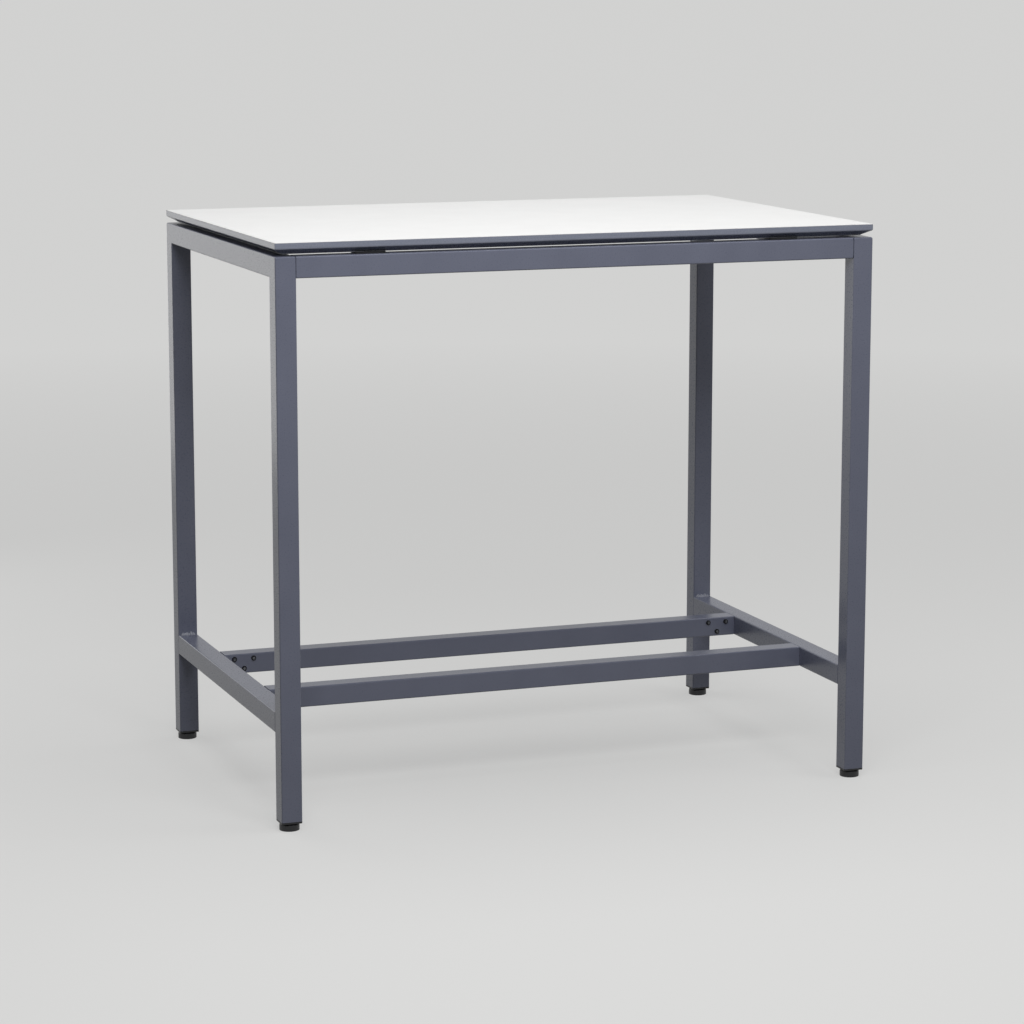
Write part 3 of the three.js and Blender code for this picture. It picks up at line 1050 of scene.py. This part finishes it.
LAMPS = (
    Softbox("ceiling softbox", 53.0, (3.2, 2.2), (0.15, -0.1, 3.3), (0.15, -0.1, 0.0)),
    Softbox("front softbox", 47.0, (2.2, 1.2), (-0.5, -2.4, 2.5), (0.0, 0.0, 0.9), mirrored=False),
    Softbox("left softbox", 7.3, (1.6, 1.5), (-1.6, 2.2, 1.0), (-0.6, 0.0, 0.8)),
    Softbox("right softbox", 7.0, (1.2, 1.6), (2.6, -1.6, 1.5), (0.3, -0.2, 0.8), mirrored=False),
)


@dataclass
class Studio:
    """A plain pale floor under soft light, seen as the photograph sees the table."""

    floor_radius: float = 240.0
    floor_sides: int = 48
    floor_colour: str = "#e0e0df"
    floor_under_colour: str = "#3c3c3e"  # what the floor throws back on the table
    floor_glow: tuple[float, float] = (0.62, 0.85)  # share of its tone that owes nothing to the lamps
    glow_reach: tuple[float, float] = (1.0, 7.0)  # distances from the table of those two shares
    sky_colour: str = "#d6d6d6"
    ambient: float = 0.07
    camera_place: tuple[float, float, float] = (-2.193, -5.984, 1.622)
    camera_azimuth: float = -20.154  # degrees
    camera_pitch: float = 9.937  # degrees below the horizon
    focal_pixels: float = 3210.0
    frame_pixels: float = 1024.0
    sensor: float = 36.0

    def build(self) -> None:
        """Makes the floor, the light and the camera."""
        bpy.context.scene.view_settings.view_transform = "Standard"
        self.build_floor()
        self.build_world()
        for lamp in LAMPS:
            lamp.build()
        self.build_camera()

    def seen(self, tree: bpy.types.NodeTree) -> bpy.types.NodeSocket:
        """Tells rays that show the studio from those that light the table.

        Args:
            tree: the nodes that ask.

        Returns:
            A socket that is 1 for camera, glossy and transmission rays, and 0 for the rest.
        """
        path = add_node(tree, "ShaderNodeLightPath").outputs
        mirror = add_node(
            tree,
            "ShaderNodeMath",
            {0: path["Is Glossy Ray"], 1: path["Is Transmission Ray"]},
            operation="MAXIMUM",
        )
        both = add_node(
            tree,
            "ShaderNodeMath",
            {0: path["Is Camera Ray"], 1: mirror.outputs["Value"]},
            operation="MAXIMUM",
        )
        return both.outputs["Value"]

    def build_floor(self) -> None:
        """Makes the pale floor, which shows the table's shadow but throws little light back."""
        material = bpy.data.materials.new("pale studio floor")
        material.use_nodes = True
        tree = material.node_tree
        tree.nodes.clear()
        lit = add_node(tree, "ShaderNodeBsdfDiffuse", {"Color": linear(self.floor_colour)})
        glow = add_node(tree, "ShaderNodeEmission", {"Color": linear(self.floor_colour), "Strength": 1.0})
        place = add_node(tree, "ShaderNodeTexCoord").outputs["Object"]
        distance = add_node(tree, "ShaderNodeVectorMath", {0: place}, operation="LENGTH")
        share = add_node(
            tree,
            "ShaderNodeMapRange",
            {
                "Value": distance.outputs["Value"],
                "From Min": self.glow_reach[0],
                "From Max": self.glow_reach[1],
                "To Min": self.floor_glow[0],
                "To Max": self.floor_glow[1],
            },
        )
        shown = add_node(
            tree, "ShaderNodeMixShader", {0: share.outputs["Result"], 1: lit.outputs[0], 2: glow.outputs[0]}
        )
        under = add_node(tree, "ShaderNodeBsdfDiffuse", {"Color": linear(self.floor_under_colour)})
        surface = add_node(
            tree, "ShaderNodeMixShader", {0: self.seen(tree), 1: under.outputs[0], 2: shown.outputs[0]}
        )
        add_node(tree, "ShaderNodeOutputMaterial", {"Surface": surface.outputs[0]})
        mesh = bpy.data.meshes.new("studio_floor")
        ring = circle(self.floor_radius, 0, Matrix.Identity(4), self.floor_sides)
        mesh.from_pydata(ring, [], [tuple(range(len(ring)))])
        mesh.materials.append(material)
        floor = bpy.data.objects.new("studio_floor", mesh)
        bpy.context.scene.collection.objects.link(floor)

    def build_world(self) -> None:
        """Makes the even light of the room, and the pale tone that is seen past the floor."""
        world = bpy.data.worlds.new("studio room")
        bpy.context.scene.world = world
        world.use_nodes = True
        tree = world.node_tree
        tree.nodes.clear()
        dim = add_node(
            tree, "ShaderNodeBackground", {"Color": linear("#ffffff"), "Strength": self.ambient}
        )
        pale = add_node(tree, "ShaderNodeBackground", {"Color": linear(self.sky_colour), "Strength": 1.0})
        surface = add_node(
            tree, "ShaderNodeMixShader", {0: self.seen(tree), 1: dim.outputs[0], 2: pale.outputs[0]}
        )
        add_node(tree, "ShaderNodeOutputWorld", {"Surface": surface.outputs[0]})

    def build_camera(self) -> None:
        """Puts the camera where the photograph was taken from."""
        lens = bpy.data.cameras.new("photograph camera")
        lens.sensor_width = self.sensor
        lens.lens = self.sensor * self.focal_pixels / self.frame_pixels
        camera = bpy.data.objects.new("photograph camera", lens)
        camera.location = self.camera_place
        camera.rotation_euler = (
            math.radians(90 - self.camera_pitch),
            0,
            math.radians(self.camera_azimuth),
        )
        bpy.context.scene.collection.objects.link(camera)
        bpy.context.scene.camera = camera


def main() -> None:
    """Builds the table from the top down, and then the studio."""
    logging.basicConfig(level=logging.INFO, format="%(name)s: %(message)s")
    TableTop().build()
    for end in End:
        EndFrame(end).build()
    footrest = Footrest()
    footrest.build()
    LongRails().build(footrest)
    for end in End:
        for side in Side:
            LevellingFoot(side, end).build()
    Studio().build()


if __name__ == "__main__":
    main()
